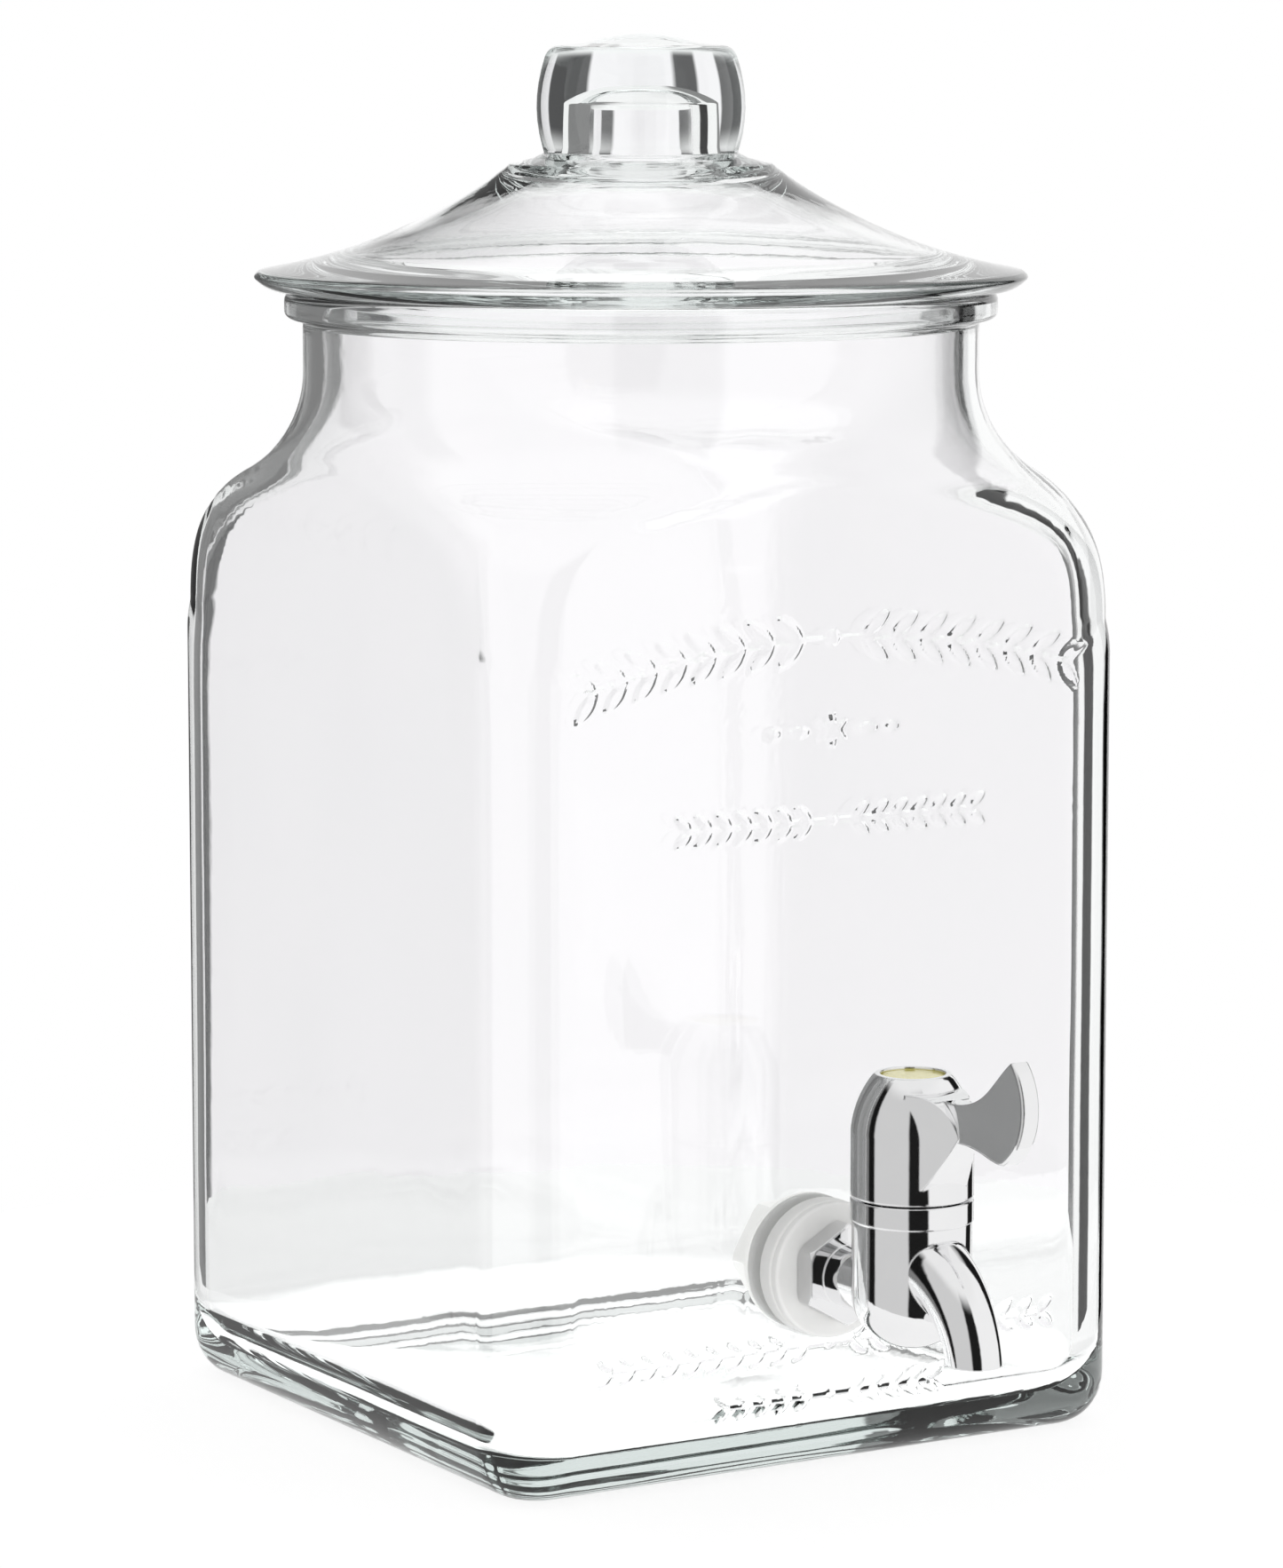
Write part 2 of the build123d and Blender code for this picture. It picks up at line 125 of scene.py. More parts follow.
def tidy_normals(obj, smooth_angle):
    """Merge doubles, point the faces outward, and mark the edges that are really sharp."""
    bm = bmesh.new()
    bm.from_mesh(obj.data)
    bmesh.ops.remove_doubles(bm, verts=bm.verts, dist=1e-7)
    bmesh.ops.recalc_face_normals(bm, faces=bm.faces)
    limit = math.radians(smooth_angle)
    for edge in bm.edges:
        edge.smooth = len(edge.link_faces) != 2 or edge.calc_face_angle() < limit
    for face in bm.faces:
        face.smooth = True
    bm.to_mesh(obj.data)
    bm.free()


def arc(centre, radius, start, end, steps):
    """Points of an arc in (r, z), angles in degrees."""
    angles = np.radians(np.linspace(start, end, steps))
    return [(centre[0] + radius * math.cos(a), centre[1] + radius * math.sin(a)) for a in angles]


def lathe(profile, segments):
    """Closed solid turned about Z from (r, z) points; points on the axis become poles."""
    verts, faces, rows = [], [], []
    angles = np.linspace(0, 2 * math.pi, segments, endpoint=False)
    for r, z in profile:
        if r < 1e-9:
            rows.append([len(verts)] * segments)
            verts.append((0, 0, z))
        else:
            rows.append(list(range(len(verts), len(verts) + segments)))
            verts += [(r * math.cos(a), r * math.sin(a), z) for a in angles]
    for low, high in zip(rows, rows[1:]):
        for j in range(segments):
            k = (j + 1) % segments
            quad = [low[j], low[k], high[k], high[j]]
            corners = list(dict.fromkeys(quad))
            if len(corners) > 2:
                faces.append(corners)
    return verts, faces


# ---------------------------------------------------------------- the jar's skin
def prism_radius(angle, half, corner):
    """Distance from the axis to a rounded square, for each angle."""
    c = np.abs(np.cos(angle))
    s = np.abs(np.sin(angle))
    flat = half / np.maximum(c, s)
    inner = half - corner
    along = inner * (c + s)
    round_part = along + np.sqrt(np.maximum(along ** 2 - 2 * inner ** 2 + corner ** 2, 0))
    on_corner = flat * np.minimum(c, s) > inner
    return np.where(on_corner, round_part, flat)


def turned_radius(z, inset):
    """Radius of the round neck and its two sweeps at height z."""
    neck, flare, shoulder = NECK - inset, FLARE + inset, SHOULDER - inset
    flare_end_z = FLARE_START - flare * math.sin(SWEEP)
    flare_end_r = neck + flare * (1 - math.cos(SWEEP))
    centre_r = flare_end_r - shoulder * math.cos(SWEEP)
    centre_z = flare_end_z - shoulder * math.sin(SWEEP)
    if z >= FLARE_START:
        return neck
    if z >= flare_end_z:
        return neck + flare - math.sqrt(flare ** 2 - (FLARE_START - z) ** 2)
    if z > centre_z:
        return centre_r + math.sqrt(shoulder ** 2 - (z - centre_z) ** 2)
    return centre_r + shoulder + (centre_z - z) * 0.6


def smooth_min(a, b, width):
    """Lower of a and b with a rounded crossover."""
    mix = np.clip(0.5 + 0.5 * (b - a) / width, 0, 1)
    return b + (a - b) * mix - width * mix * (1 - mix)


def skin_radius(angle, z, inset, pull=0.0):
    """Distance from the axis to the skin a given distance inside; pull draws the sides in at the foot."""
    corner = CORNER - pull
    if inset:
        front = np.sin(angle) < 0
        corner = np.where(front, FRONT_INNER_CORNER, BACK_INNER_CORNER) - INNER_CORNER_PULL * pull
    square = prism_radius(angle, body_half - inset - pull, corner)
    turned = turned_radius(z, inset)
    fade = min(1.0, max(0.0, (z - 150 * MM) / (30 * MM)))
    return smooth_min(square, np.full_like(square, turned), BLEND * fade + 1e-6)


# ---------------------------------------------------------------- raised ornament
def leaf(x, z, cx, cz, length, width, turn):
    """Height share of a leaf-shaped pad: 1 on top, falling to 0 round its edge."""
    u = (x - cx) * np.cos(turn) + (z - cz) * np.sin(turn)
    v = -(x - cx) * np.sin(turn) + (z - cz) * np.cos(turn)
    reach = np.clip(1 - (2 * u / length) ** 2, 0, None)
    edge = reach * width / 2 - np.abs(v)
    return np.clip(edge / MARK_EDGE + 0.15, 0, 1)


def bead(x, z, cx, cz, radius):
    """Height share of a round pad."""
    edge = radius - np.hypot(x - cx, z - cz)
    return np.clip(edge / MARK_EDGE + 0.15, 0, 1)


def stem(x, z, middle, half, sag, width):
    """Height share of a thin arched line, lower than the leaves."""
    edge = width / 2 - np.abs(z - middle + sag * (x / half) ** 2)
    edge = np.minimum(edge, half - np.abs(x))
    return np.clip(edge / MARK_EDGE + 0.4, 0, 0.7)


def branch(middle, half, sag, leaf_length, width, pitch):
    """A laurel branch along a shallow arch: a thin stem with paired leaves pointing away from its middle."""
    marks = [(stem, middle, half, sag, STEM_WIDTH)]
    count = round(half / pitch)
    for i in range(-count, count + 1):
        x = i * half / count
        z = middle - sag * (x / half) ** 2
        slope = math.atan(-2 * sag * x / half ** 2)
        if i == 0:
            marks.append((bead, 0, z, width * 0.55))
            continue
        side = 1 if i > 0 else -1
        for lean in (-1, 1):
            turn = slope + side * lean * math.radians(LEAF_LEAN)
            reach = leaf_length * 0.5
            cx = x + side * reach * math.cos(turn)
            cz = z + side * reach * math.sin(turn)
            marks.append((leaf, cx, cz, leaf_length, width, turn))
    return marks


def ornament_marks():
    """A laurel branch on a shallow arch, a small rosette under it, and three shorter straight branches."""
    marks = branch(187.5 * MM, 60.0 * MM, 8.0 * MM, 9.5 * MM, 3.4 * MM, 7.5 * MM)
    for lean in (0, 60, 120):
        marks.append((leaf, 0, 167.0 * MM, 9.5 * MM, 2.8 * MM, math.radians(lean + 90)))
    for side in (-1, 1):
        for away, length in ((9.0, 7.0), (15.5, 4.5)):
            marks.append((leaf, side * away * MM, 167.0 * MM, length * MM, 2.6 * MM, 0))
    marks += branch(147.0 * MM, 36.0 * MM, 0, 6.2 * MM, 2.4 * MM, 5.2 * MM)
    marks += branch(29.5 * MM, 56.0 * MM, 0, 5.6 * MM, 2.3 * MM, 5.6 * MM)
    marks += branch(17.5 * MM, 26.0 * MM, 0, 5.4 * MM, 2.3 * MM, 5.2 * MM)
    return marks


def ornament_height(x, z):
    """Height share of the whole ornament at places on the front face."""
    share = np.zeros_like(x)
    for shape, *sizes in ornament_marks():
        share = np.maximum(share, shape(x, z, *sizes))
    return share * share * (3 - 2 * share)


# ---------------------------------------------------------------- the jar
def column_angles():
    """Angles of the jar's columns, fine across the ornamented face and closer in the corners."""
    front = body_half - CORNER
    count = round(2 * front / COLUMN_STEP)
    across = np.linspace(-front, front, count + 1)
    angles = list(np.arctan2(-body_half, across))
    corner_start = math.degrees(math.atan2(body_half - CORNER, body_half))
    for side in range(4):
        middle = math.radians(-45 + 90 * side)
        spread = math.radians(45 - corner_start)
        turn = np.linspace(-spread, spread, 14)
        angles += list(middle + turn[1 if side == 0 else 0:13 if side == 3 else 14])
        if side < 3:
            flat = np.radians(np.linspace(-corner_start, corner_start, 32))
            angles += list(math.radians(90 * side) + flat[1:-1])
    return np.array(angles)


def levels(*stretches):
    """Heights from stretches of (end, step) in mm, starting at the first number."""
    values = [stretches[0]]
    for end, step in stretches[1:]:
        count = max(1, round(abs(end - values[-1]) / step))
        values += list(np.linspace(values[-1], end, count + 1)[1:])
    return [v * MM for v in values]


def ripple(angle, z):
    """Slow unevenness of pressed glass, -1 to 1."""
    first = np.sin(5 * angle + z / (19 * MM))
    second = np.sin(9 * angle - z / (31 * MM) + 1.3)
    third = np.sin(2 * angle - z / (12 * MM) + 0.4)
    return (first + second + third) / 3


def jar_rows():
    """Closed stack of rings from the middle of the base, up the outside, over the rim and down the inside."""
    angle = column_angles()
    cos, sin = np.cos(angle), np.sin(angle)
    rows = []

    def ring_row(radius, z):
        height = np.broadcast_to(z, angle.shape)
        rows.append(np.column_stack([radius * cos, radius * sin, height]))

    sole = skin_radius(angle, 0, 0, FOOT)
    for share in (0.25, 0.5, 0.72, 0.84, 0.9, 0.95):
        rise = PUSH_UP * (1 - min(1, max(0, (share - 0.5) / 0.45)) ** 2)
        ring_row(sole * share, rise)
    for step in np.linspace(0, 1, 11):
        swing = step * math.pi / 2
        pull = FOOT * (1 - math.sin(swing))
        z = FOOT_HEIGHT * (1 - math.cos(swing))
        ring_row(skin_radius(angle, 0, 0, pull), z)
    # Rings are close together where the ornament is, in mm up the wall.
    lower = [(34, 0.6), (142, 9), (152, 0.6), (162.5, 3.5)]
    upper = [(172, 0.6), (196, 0.6), (242, 1.5), (250, 4)]
    wall = levels(12, *lower, *upper)
    for z in wall[1:]:
        ring_row(skin_radius(angle, z, 0), z)
    rim = [(77.8, 252.4)] + arc((79.3, 252.4), 1.5, 180, 90, 6)[1:]
    rim += arc((80.2, 255.7), 1.8, -90, 0, 6) + arc((80.1, 258.1), 1.9, 0, 90, 7)
    rim += arc((75.3, 257.9), 2.1, 90, 180, 7)
    for r, z in rim:
        ring_row(np.full_like(angle, r * MM), z * MM)
    outer_count = len(rows)
    inside = levels(255, (242, 4), (186, 2), (26, 10), (FLOOR / MM + INNER_FILLET / MM, 4))
    for z in inside:
        fade = min(1.0, max(0.0, (240 * MM - z) / (40 * MM)))
        uneven = ripple(angle, z) * UNEVEN * fade
        ring_row(skin_radius(angle, z, WALL) + uneven, z)
    for step in np.linspace(0, 1, 9)[1:]:
        swing = step * math.pi / 2
        pull = INNER_FILLET * (1 - math.cos(swing))
        z = FLOOR + INNER_FILLET * (1 - math.sin(swing))
        uneven = ripple(angle, z) * UNEVEN
        ring_row(skin_radius(angle, z, WALL, pull) + uneven, z)
    floor_edge = skin_radius(angle, FLOOR, WALL, INNER_FILLET) + ripple(angle, FLOOR) * UNEVEN
    for share in (0.94, 0.86, 0.77, 0.67, 0.56, 0.44, 0.32, 0.2, 0.09):
        radius = floor_edge * share
        x, y = radius * cos, radius * sin
        wave = np.sin(x / (13 * MM) + y / (29 * MM)) + np.sin(y / (11 * MM) - x / (23 * MM) + 2)
        height = FLOOR + FLOOR_DOME * (1 - share ** 2)
        ring_row(radius, height + FLOOR_WAVE * wave * (1 - share ** 4))
    return rows, outer_count


def jar_mesh():
    rows, outer_count = jar_rows()
    for row in rows[:outer_count]:
        x, y, z = row[:, 0], row[:, 1], row[:, 2]
        front = (y < -body_half + 0.01 * MM) & (z > FOOT_HEIGHT)
        near_hole = np.hypot(x - hole_x, z - hole_z)
        keep_off = np.clip((near_hole - 17 * MM) / (2 * MM), 0, 1)
        raised = ornament_height(x, z) * RAISED * keep_off
        relief = np.clip((19 * MM - near_hole) / (1 * MM), 0, 1) * CONTACT_RELIEF
        y[front] += (relief - raised)[front]
    for row in rows[outer_count:]:
        x, y, z = row[:, 0], row[:, 1], row[:, 2]
        front = (y < -body_half + WALL + 0.5 * MM) & (z > FLOOR + INNER_FILLET)
        near_hole = np.hypot(x - hole_x, z - hole_z)
        flat = np.clip((30 * MM - near_hole) / (8 * MM), 0, 1)
        seat = -body_half + WALL - CONTACT_RELIEF
        y[front] += (flat * (seat - y))[front]
    columns = len(rows[0])
    verts = [(0, 0, PUSH_UP)]
    for row in rows:
        verts += [tuple(p) for p in row]
    top = len(verts)
    verts.append((0, 0, FLOOR + FLOOR_DOME))
    faces = []
    for j in range(columns):
        k = (j + 1) % columns
        faces.append((0, 1 + k, 1 + j))
        last = 1 + (len(rows) - 1) * columns
        faces.append((top, last + j, last + k))
    for i in range(len(rows) - 1):
        low, high = 1 + i * columns, 1 + (i + 1) * columns
        for j in range(columns):
            k = (j + 1) % columns
            faces.append((low + j, low + k, high + k, high + j))
    return verts, faces


def cut_hole(obj, radius, centre, reach):
    """Round hole along Y, with a fine edge, cut and applied."""
    steps = 96
    turn = np.linspace(0, 2 * math.pi, steps, endpoint=False)
    ring_points = [(centre[0] + radius * math.cos(a), centre[2] + radius * math.sin(a)) for a in turn]
    verts = [(x, centre[1] - reach, z) for x, z in ring_points]
    verts += [(x, centre[1] + reach, z) for x, z in ring_points]
    faces = [tuple(range(steps)), tuple(range(2 * steps - 1, steps - 1, -1))]
    faces += [(j, (j + 1) % steps, steps + (j + 1) % steps, steps + j) for j in range(steps)]
    cutter = mesh_object("hole_cutter", verts, faces)
    modifier = obj.modifiers.new("hole", "BOOLEAN")
    modifier.operation = "DIFFERENCE"
    modifier.solver = "EXACT"
    modifier.object = cutter
    bpy.context.view_layer.update()
    cut = bpy.data.meshes.new_from_object(obj.evaluated_get(bpy.context.evaluated_depsgraph_get()))
    obj.modifiers.clear()
    obj.data = cut
    bpy.data.objects.remove(cutter)
    tidy_normals(obj, 40)


jar = mesh_object("jar_glass", *jar_mesh())
cut_hole(jar, HOLE, (hole_x, -body_half, hole_z), 12 * MM)
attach(jar, "jar")
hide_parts("glass_jar")


# ---------------------------------------------------------------- the lid
def arc_through(a, b, c, steps):
    """Points of the circle arc from a through b to c."""
    ax, ay = a
    bx, by = b
    cx, cy = c
    d = 2 * (ax * (by - cy) + bx * (cy - ay) + cx * (ay - by))
    ux = ((ax**2 + ay**2) * (by - cy) + (bx**2 + by**2) * (cy - ay) + (cx**2 + cy**2) * (ay - by)) / d
    uy = ((ax**2 + ay**2) * (cx - bx) + (bx**2 + by**2) * (ax - cx) + (cx**2 + cy**2) * (bx - ax)) / d
    radius = math.hypot(ax - ux, ay - uy)
    start, middle, end = (math.atan2(y - uy, x - ux) for x, y in (a, b, c))
    turn = (end - start) % (2 * math.pi)
    if (middle - start) % (2 * math.pi) > turn:
        turn -= 2 * math.pi
    sweep = np.linspace(0, turn, steps)
    return [(ux + radius * math.cos(start + t), uy + radius * math.sin(start + t)) for t in sweep]


def softened(path, reach, spacing=0.1):
    """The same outline with every corner rounded over about that reach; its ends stay on the axis."""
    points = np.array(path)
    mirror = points[1:60] * [-1, 1]
    tail = points[-60:-1] * [-1, 1]
    points = np.vstack([mirror[::-1], points, tail[::-1]])
    length = np.concatenate([[0], np.cumsum(np.hypot(*np.diff(points, axis=0).T))])
    even = np.arange(0, length[-1], spacing)
    line = np.column_stack([np.interp(even, length, points[:, 0]), np.interp(even, length, points[:, 1])])
    window = max(3, int(reach / spacing) | 1)
    kernel = np.hanning(window + 2)[1:-1]
    kernel /= kernel.sum()
    padded = np.pad(line, ((window // 2, window // 2), (0, 0)), mode="edge")
    line = np.column_stack([np.convolve(padded[:, i], kernel, "valid") for i in range(2)])
    line = line[line[:, 0] > 0.2]
    kept = [line[0]]
    heading = None
    for before, point in zip(line, line[1:]):
        step = point - kept[-1]
        way = math.atan2(*(point - before))
        heading = way if heading is None else heading
        bend = abs((way - heading + math.pi) % (2 * math.pi) - math.pi)
        if np.hypot(*step) > 3.0 or (bend > math.radians(5) and np.hypot(*step) > 0.15):
            kept.append(point)
            heading = way
    kept.append(line[-1])
    return kept


def lid_profile():
    """Half outline of the lid in (radius, height) mm, from the crown over the lip to the hollow's top."""
    top = LID_TOP
    path = arc_through((0, top), (6.5, top - 0.62), (12.8, top - 2.3), 24)
    path += [(18.0, top - 2.8)]
    path += arc_through((18.0, top - 2.8), (21.0, 315.0), (22.2, 312.6), 12)[1:]
    path += arc_through((22.2, 312.6), (23.9, 304.0), (22.2, 291.5), 40)[1:]
    path += [(24.6, 290.3), (30.2, 289.0), (31.0, 288.2)]
    path += arc_through((31.2, 288.0), (58.5, 273.0), (87.8, 264.7), 60)[1:]
    path += [(88.7, 263.9), (88.9, 263.3)]
    path += arc_through((88.9, 263.3), (86.4, 261.2), (82.8, 260.3), 14)[1:]
    path += [(73.2, 260.3), (72.2, 259.3), (71.6, 253.3), (70.8, 252.3), (69.6, 252.3)]
    path += [(68.6, 253.3), (68.6, 263.2)]
    path += arc_through((67.6, 265.4), (49.0, 273.2), (29.0, 283.8), 50)
    path += [(26.0, 284.6), (19.5, 284.4), (15.4, 286.2), (12.2, 290.5), (11.8, 302.6)]
    path += arc_through((11.8, 302.6), (8.6, 304.4), (0, 305.2), 20)[1:]
    return [(r * MM, z * MM) for r, z in softened(path, LID_SOFTENING)]


profile = lid_profile()
profile = [(0, profile[0][1])] + profile + [(0, profile[-1][1])]
lid = mesh_object("lid_glass", *lathe(profile, LID_SEGMENTS))
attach(lid, "lid")
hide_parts("glass_lid")


# ---------------------------------------------------------------- materials
def new_material(name):
    material = bpy.data.materials.new(name)
    material.use_nodes = True
    tree = material.node_tree
    tree.nodes.clear()
    out = tree.nodes.new("ShaderNodeOutputMaterial")
    return material, tree, out


def link(tree, source, target):
    tree.links.new(source, target)


def math_node(tree, operation, first, second=None):
    """One Math node; each input is a socket or a number."""
    node = tree.nodes.new("ShaderNodeMath")
    node.operation = operation
    for i, value in enumerate((first, second)):
        if value is None:
            continue
        if isinstance(value, (int, float)):
            node.inputs[i].default_value = value
        else:
            link(tree, value, node.inputs[i])
    return node.outputs[0]


def noise(tree, scale, detail=2.0, distortion=0.0):
    """Noise in the piece's own coordinates; scale is in features per metre."""
    place = tree.nodes.new("ShaderNodeTexCoord")
    node = tree.nodes.new("ShaderNodeTexNoise")
    node.inputs["Scale"].default_value = scale
    node.inputs["Detail"].default_value = detail
    node.inputs["Distortion"].default_value = distortion
    link(tree, place.outputs["Object"], node.inputs["Vector"])
    return node.outputs["Fac"]


def spread(tree, value, low, high):
    node = tree.nodes.new("ShaderNodeMapRange")
    node.inputs["To Min"].default_value = low
    node.inputs["To Max"].default_value = high
    link(tree, value, node.inputs["Value"])
    return node.outputs[0]


def bump(tree, height, distance, strength=1.0, base=None):
    node = tree.nodes.new("ShaderNodeBump")
    node.inputs["Distance"].default_value = distance
    node.inputs["Strength"].default_value = strength
    link(tree, height, node.inputs["Height"])
    if base is not None:
        link(tree, base, node.inputs["Normal"])
    return node.outputs["Normal"]


def two_tone(tree, value, first, second):
    node = tree.nodes.new("ShaderNodeMix")
    node.data_type = "RGBA"
    node.inputs["A"].default_value = (*first, 1)
    node.inputs["B"].default_value = (*second, 1)
    link(tree, value, node.inputs["Factor"])
    return node.outputs["Result"]


WAVE_DEPTH = 0.0001            # of pressed glass, m
FINE_DEPTH = 0.000008


def clear_glass():
    """Thick pressed glass: faint waves on the surface, a slight grey-green tint in the depth."""
    material, tree, out = new_material("clear_glass")
    shader = tree.nodes.new("ShaderNodeBsdfPrincipled")
    shader.inputs["Transmission Weight"].default_value = 1.0
    shader.inputs["IOR"].default_value = 1.5
    wide = noise(tree, 34, 1.5)
    fine = noise(tree, 210, 2.0)
    waves = bump(tree, wide, WAVE_DEPTH)
    link(tree, bump(tree, fine, FINE_DEPTH, 1.0, waves), shader.inputs["Normal"])
    link(tree, spread(tree, fine, 0.0, 0.012), shader.inputs["Roughness"])
    link(tree, two_tone(tree, wide, (0.985, 0.99, 0.99), (1.0, 1.0, 1.0)), shader.inputs["Base Color"])
    inside = tree.nodes.new("ShaderNodeVolumeAbsorption")
    inside.inputs["Color"].default_value = (0.75, 0.81, 0.795, 1)
    inside.inputs["Density"].default_value = 8.5
    link(tree, shader.outputs[0], out.inputs["Surface"])
    link(tree, inside.outputs[0], out.inputs["Volume"])
    return material


def chrome_plate():
    """Bright plating with softened edges and a trace of orange peel and haze."""
    material, tree, out = new_material("chrome_plate")
    shader = tree.nodes.new("ShaderNodeBsdfPrincipled")
    shader.inputs["Metallic"].default_value = 1.0
    soft = tree.nodes.new("ShaderNodeBevel")
    soft.samples = 6
    soft.inputs["Radius"].default_value = 0.0006
    orange_peel = noise(tree, 260, 2.0)
    haze = noise(tree, 90, 4.0, 0.6)
    link(tree, bump(tree, orange_peel, 0.000012, 1.0, soft.outputs[0]), shader.inputs["Normal"])
    link(tree, spread(tree, haze, 0.015, 0.07), shader.inputs["Roughness"])
    link(tree, two_tone(tree, haze, (0.86, 0.86, 0.87), (0.92, 0.92, 0.92)), shader.inputs["Base Color"])
    link(tree, shader.outputs[0], out.inputs["Surface"])
    return material


def moulded(name, dark, light, rough, grain, grain_depth, translucent=0.0, gloss=0.0, glow=0.0):
    """Moulded rubber or plastic with a little grain and tone variation; its glow is painted light, an
    emission that brightens the part.
    """
    material, tree, out = new_material(name)
    shader = tree.nodes.new("ShaderNodeBsdfPrincipled")
    cloud = noise(tree, grain / 6, 3.0)
    fine = noise(tree, grain, 3.0)
    link(tree, two_tone(tree, cloud, dark, light), shader.inputs["Base Color"])
    link(tree, spread(tree, cloud, rough[0], rough[1]), shader.inputs["Roughness"])
    link(tree, bump(tree, fine, grain_depth), shader.inputs["Normal"])
    shader.inputs["Coat Weight"].default_value = gloss
    shader.inputs["Subsurface Weight"].default_value = translucent
    shader.inputs["Subsurface Radius"].default_value = (1.0, 1.0, 1.0)
    shader.inputs["Subsurface Scale"].default_value = 0.004
    # Painted light: the glow makes the part emit light of its own. It stands in for light scattered inside
    # the pale plastics and for light that reaches the inner parts through the glass.
    shader.inputs["Emission Color"].default_value = (1.0, 1.0, 0.98, 1)
    shader.inputs["Emission Strength"].default_value = glow
    link(tree, shader.outputs[0], out.inputs["Surface"])
    return material


def turned_steel():
    """Screw and washer: bright steel with turning marks."""
    material, tree, out = new_material("screw_steel")
    shader = tree.nodes.new("ShaderNodeBsdfPrincipled")
    shader.inputs["Metallic"].default_value = 1.0
    marks = noise(tree, 1400, 4.0, 0.4)
    link(tree, two_tone(tree, marks, (0.5, 0.5, 0.5), (0.66, 0.65, 0.64)), shader.inputs["Base Color"])
    link(tree, spread(tree, marks, 0.2, 0.38), shader.inputs["Roughness"])
    link(tree, bump(tree, marks, 0.00002), shader.inputs["Normal"])
    link(tree, shader.outputs[0], out.inputs["Surface"])
    return material


# Each moulded finish: two colours, a roughness range, grain per metre and its depth. The glow is painted
# light: an emission that brightens the pale plastics, standing in for light scattered inside them and for
# light that reaches the parts behind the glass.
silicone = ((0.72, 0.72, 0.71), (0.84, 0.84, 0.83))
plastic = ((0.70, 0.70, 0.69), (0.80, 0.80, 0.79))
gold = ((0.80, 0.70, 0.10), (0.93, 0.86, 0.28))
rubber = ((0.016, 0.016, 0.017), (0.03, 0.03, 0.03))
plug = ((0.62, 0.62, 0.60), (0.72, 0.72, 0.70))
finishes = {
    "clear_glass": clear_glass(),
    "chrome_plate": chrome_plate(),
    # The glow values here are painted light; the white plastic, which the nut behind the glass is made of,
    # glows most.
    "white_silicone": moulded("white_silicone", *silicone, (0.32, 0.46), 900, 0.00002, 0.4, glow=0.12),
    "white_plastic": moulded("white_plastic", *plastic, (0.28, 0.4), 1100, 0.000015, 0.3, glow=0.5),
    "gold_disc": moulded("gold_disc", *gold, (0.12, 0.2), 700, 0.00001, gloss=0.6),
    "black_rubber": moulded("black_rubber", *rubber, (0.45, 0.6), 1300, 0.00002),
    "plug_plastic": moulded("plug_plastic", *plug, (0.3, 0.42), 1000, 0.00002),
    "screw_steel": turned_steel(),
}
slot_of = {row["node"]: row["material_slot"] for row in frame["record"]["subparts"]}
slot_of["outer_washer"] = "white_silicone"     # the two washers outside look alike
for name, node in nodes.items():
    node.data.materials.clear()
    node.data.materials.append(finishes[slot_of[name]])
for piece in (jar, lid):
    piece.data.materials.clear()
    piece.data.materials.append(finishes["clear_glass"])


# ---------------------------------------------------------------- surroundings
# The studio is a white surround. Rays that have passed through glass also see evenly spaced dark cards,
# which draw the glass's edges. Rays mirrored by a surface see the bands instead. Azimuths are in degrees
# from +Y toward +X.
LIT = (1.04, 1.02, 1.04)
CARD = (0.09, 0.09, 0.092)
CARDS = 8
CARD_MIDDLE = 22.5             # azimuth of the first card
CARD_HALF = 14.2
CARD_SOFT = 0.04               # width of a card's blended edge, as a share of the spacing
OPEN_MIDDLE = 30.9             # a lit gap, kept behind the jar as seen from its front left
OPEN_HALF = 12.6
OVERHEAD_THROUGH = 1.05
CARD_FADE_UP = (0.12, 0.34)    # heights on the unit sphere over which the cards fade out
CARD_FADE_DOWN = (-0.3, -0.5)
OVERHEAD_MIRRORED = 0.9
BAND_FADE_UP = (0.62, 0.85)
BAND_SOFT = 1.2
MIRROR_BANDS = [               # (start of band, brightness)
    (-180.0, 0.95), (-177.5, 0.012), (-140.1, 0.66), (-72.0, 0.008), (-58.0, 0.22),
    (22.0, 1.0), (63.9, 0.01), (87.9, 0.95),
]
FLOOR_RADIUS = 0.27
MIRRORED_RADIUS = 0.185        # mirrored rays see the pale floor only this far out, m
UNDER_JAR = (0.1, 0.125)       # the floor is brighter through the glass inside this radius, m
FLOOR_GLOW = 0.85
FLOOR_GLOW_THROUGH = 0.5


def shade_of(value):
    return value if isinstance(value, tuple) else (value,) * 3


def band_ramp(tree, share, stops):
    """Brightness from (share from 0 to 1, value) stops."""
    ramp = tree.nodes.new("ShaderNodeValToRGB")
    ramp.color_ramp.interpolation = "LINEAR"
    elements = ramp.color_ramp.elements
    while len(elements) > 1:
        elements.remove(elements[-1])
    elements[0].position = 0
    elements[0].color = (*shade_of(stops[0][1]), 1)
    for place, value in stops[1:]:
        one = elements.new(min(1.0, place))
        one.color = (*shade_of(value), 1)
    link(tree, share, ramp.inputs[0])
    return ramp.outputs[0]


def steps_to_stops(steps, soft):
    """Turn (start azimuth, value) plateaus into ramp stops with a short blend at each change."""
    stops = [(0, steps[0][1])]
    for (_, before), (start, after) in zip(steps, steps[1:]):
        stops += [((start - soft + 180) / 360, before), ((start + soft + 180) / 360, after)]
    stops.append((1, steps[-1][1]))
    return stops


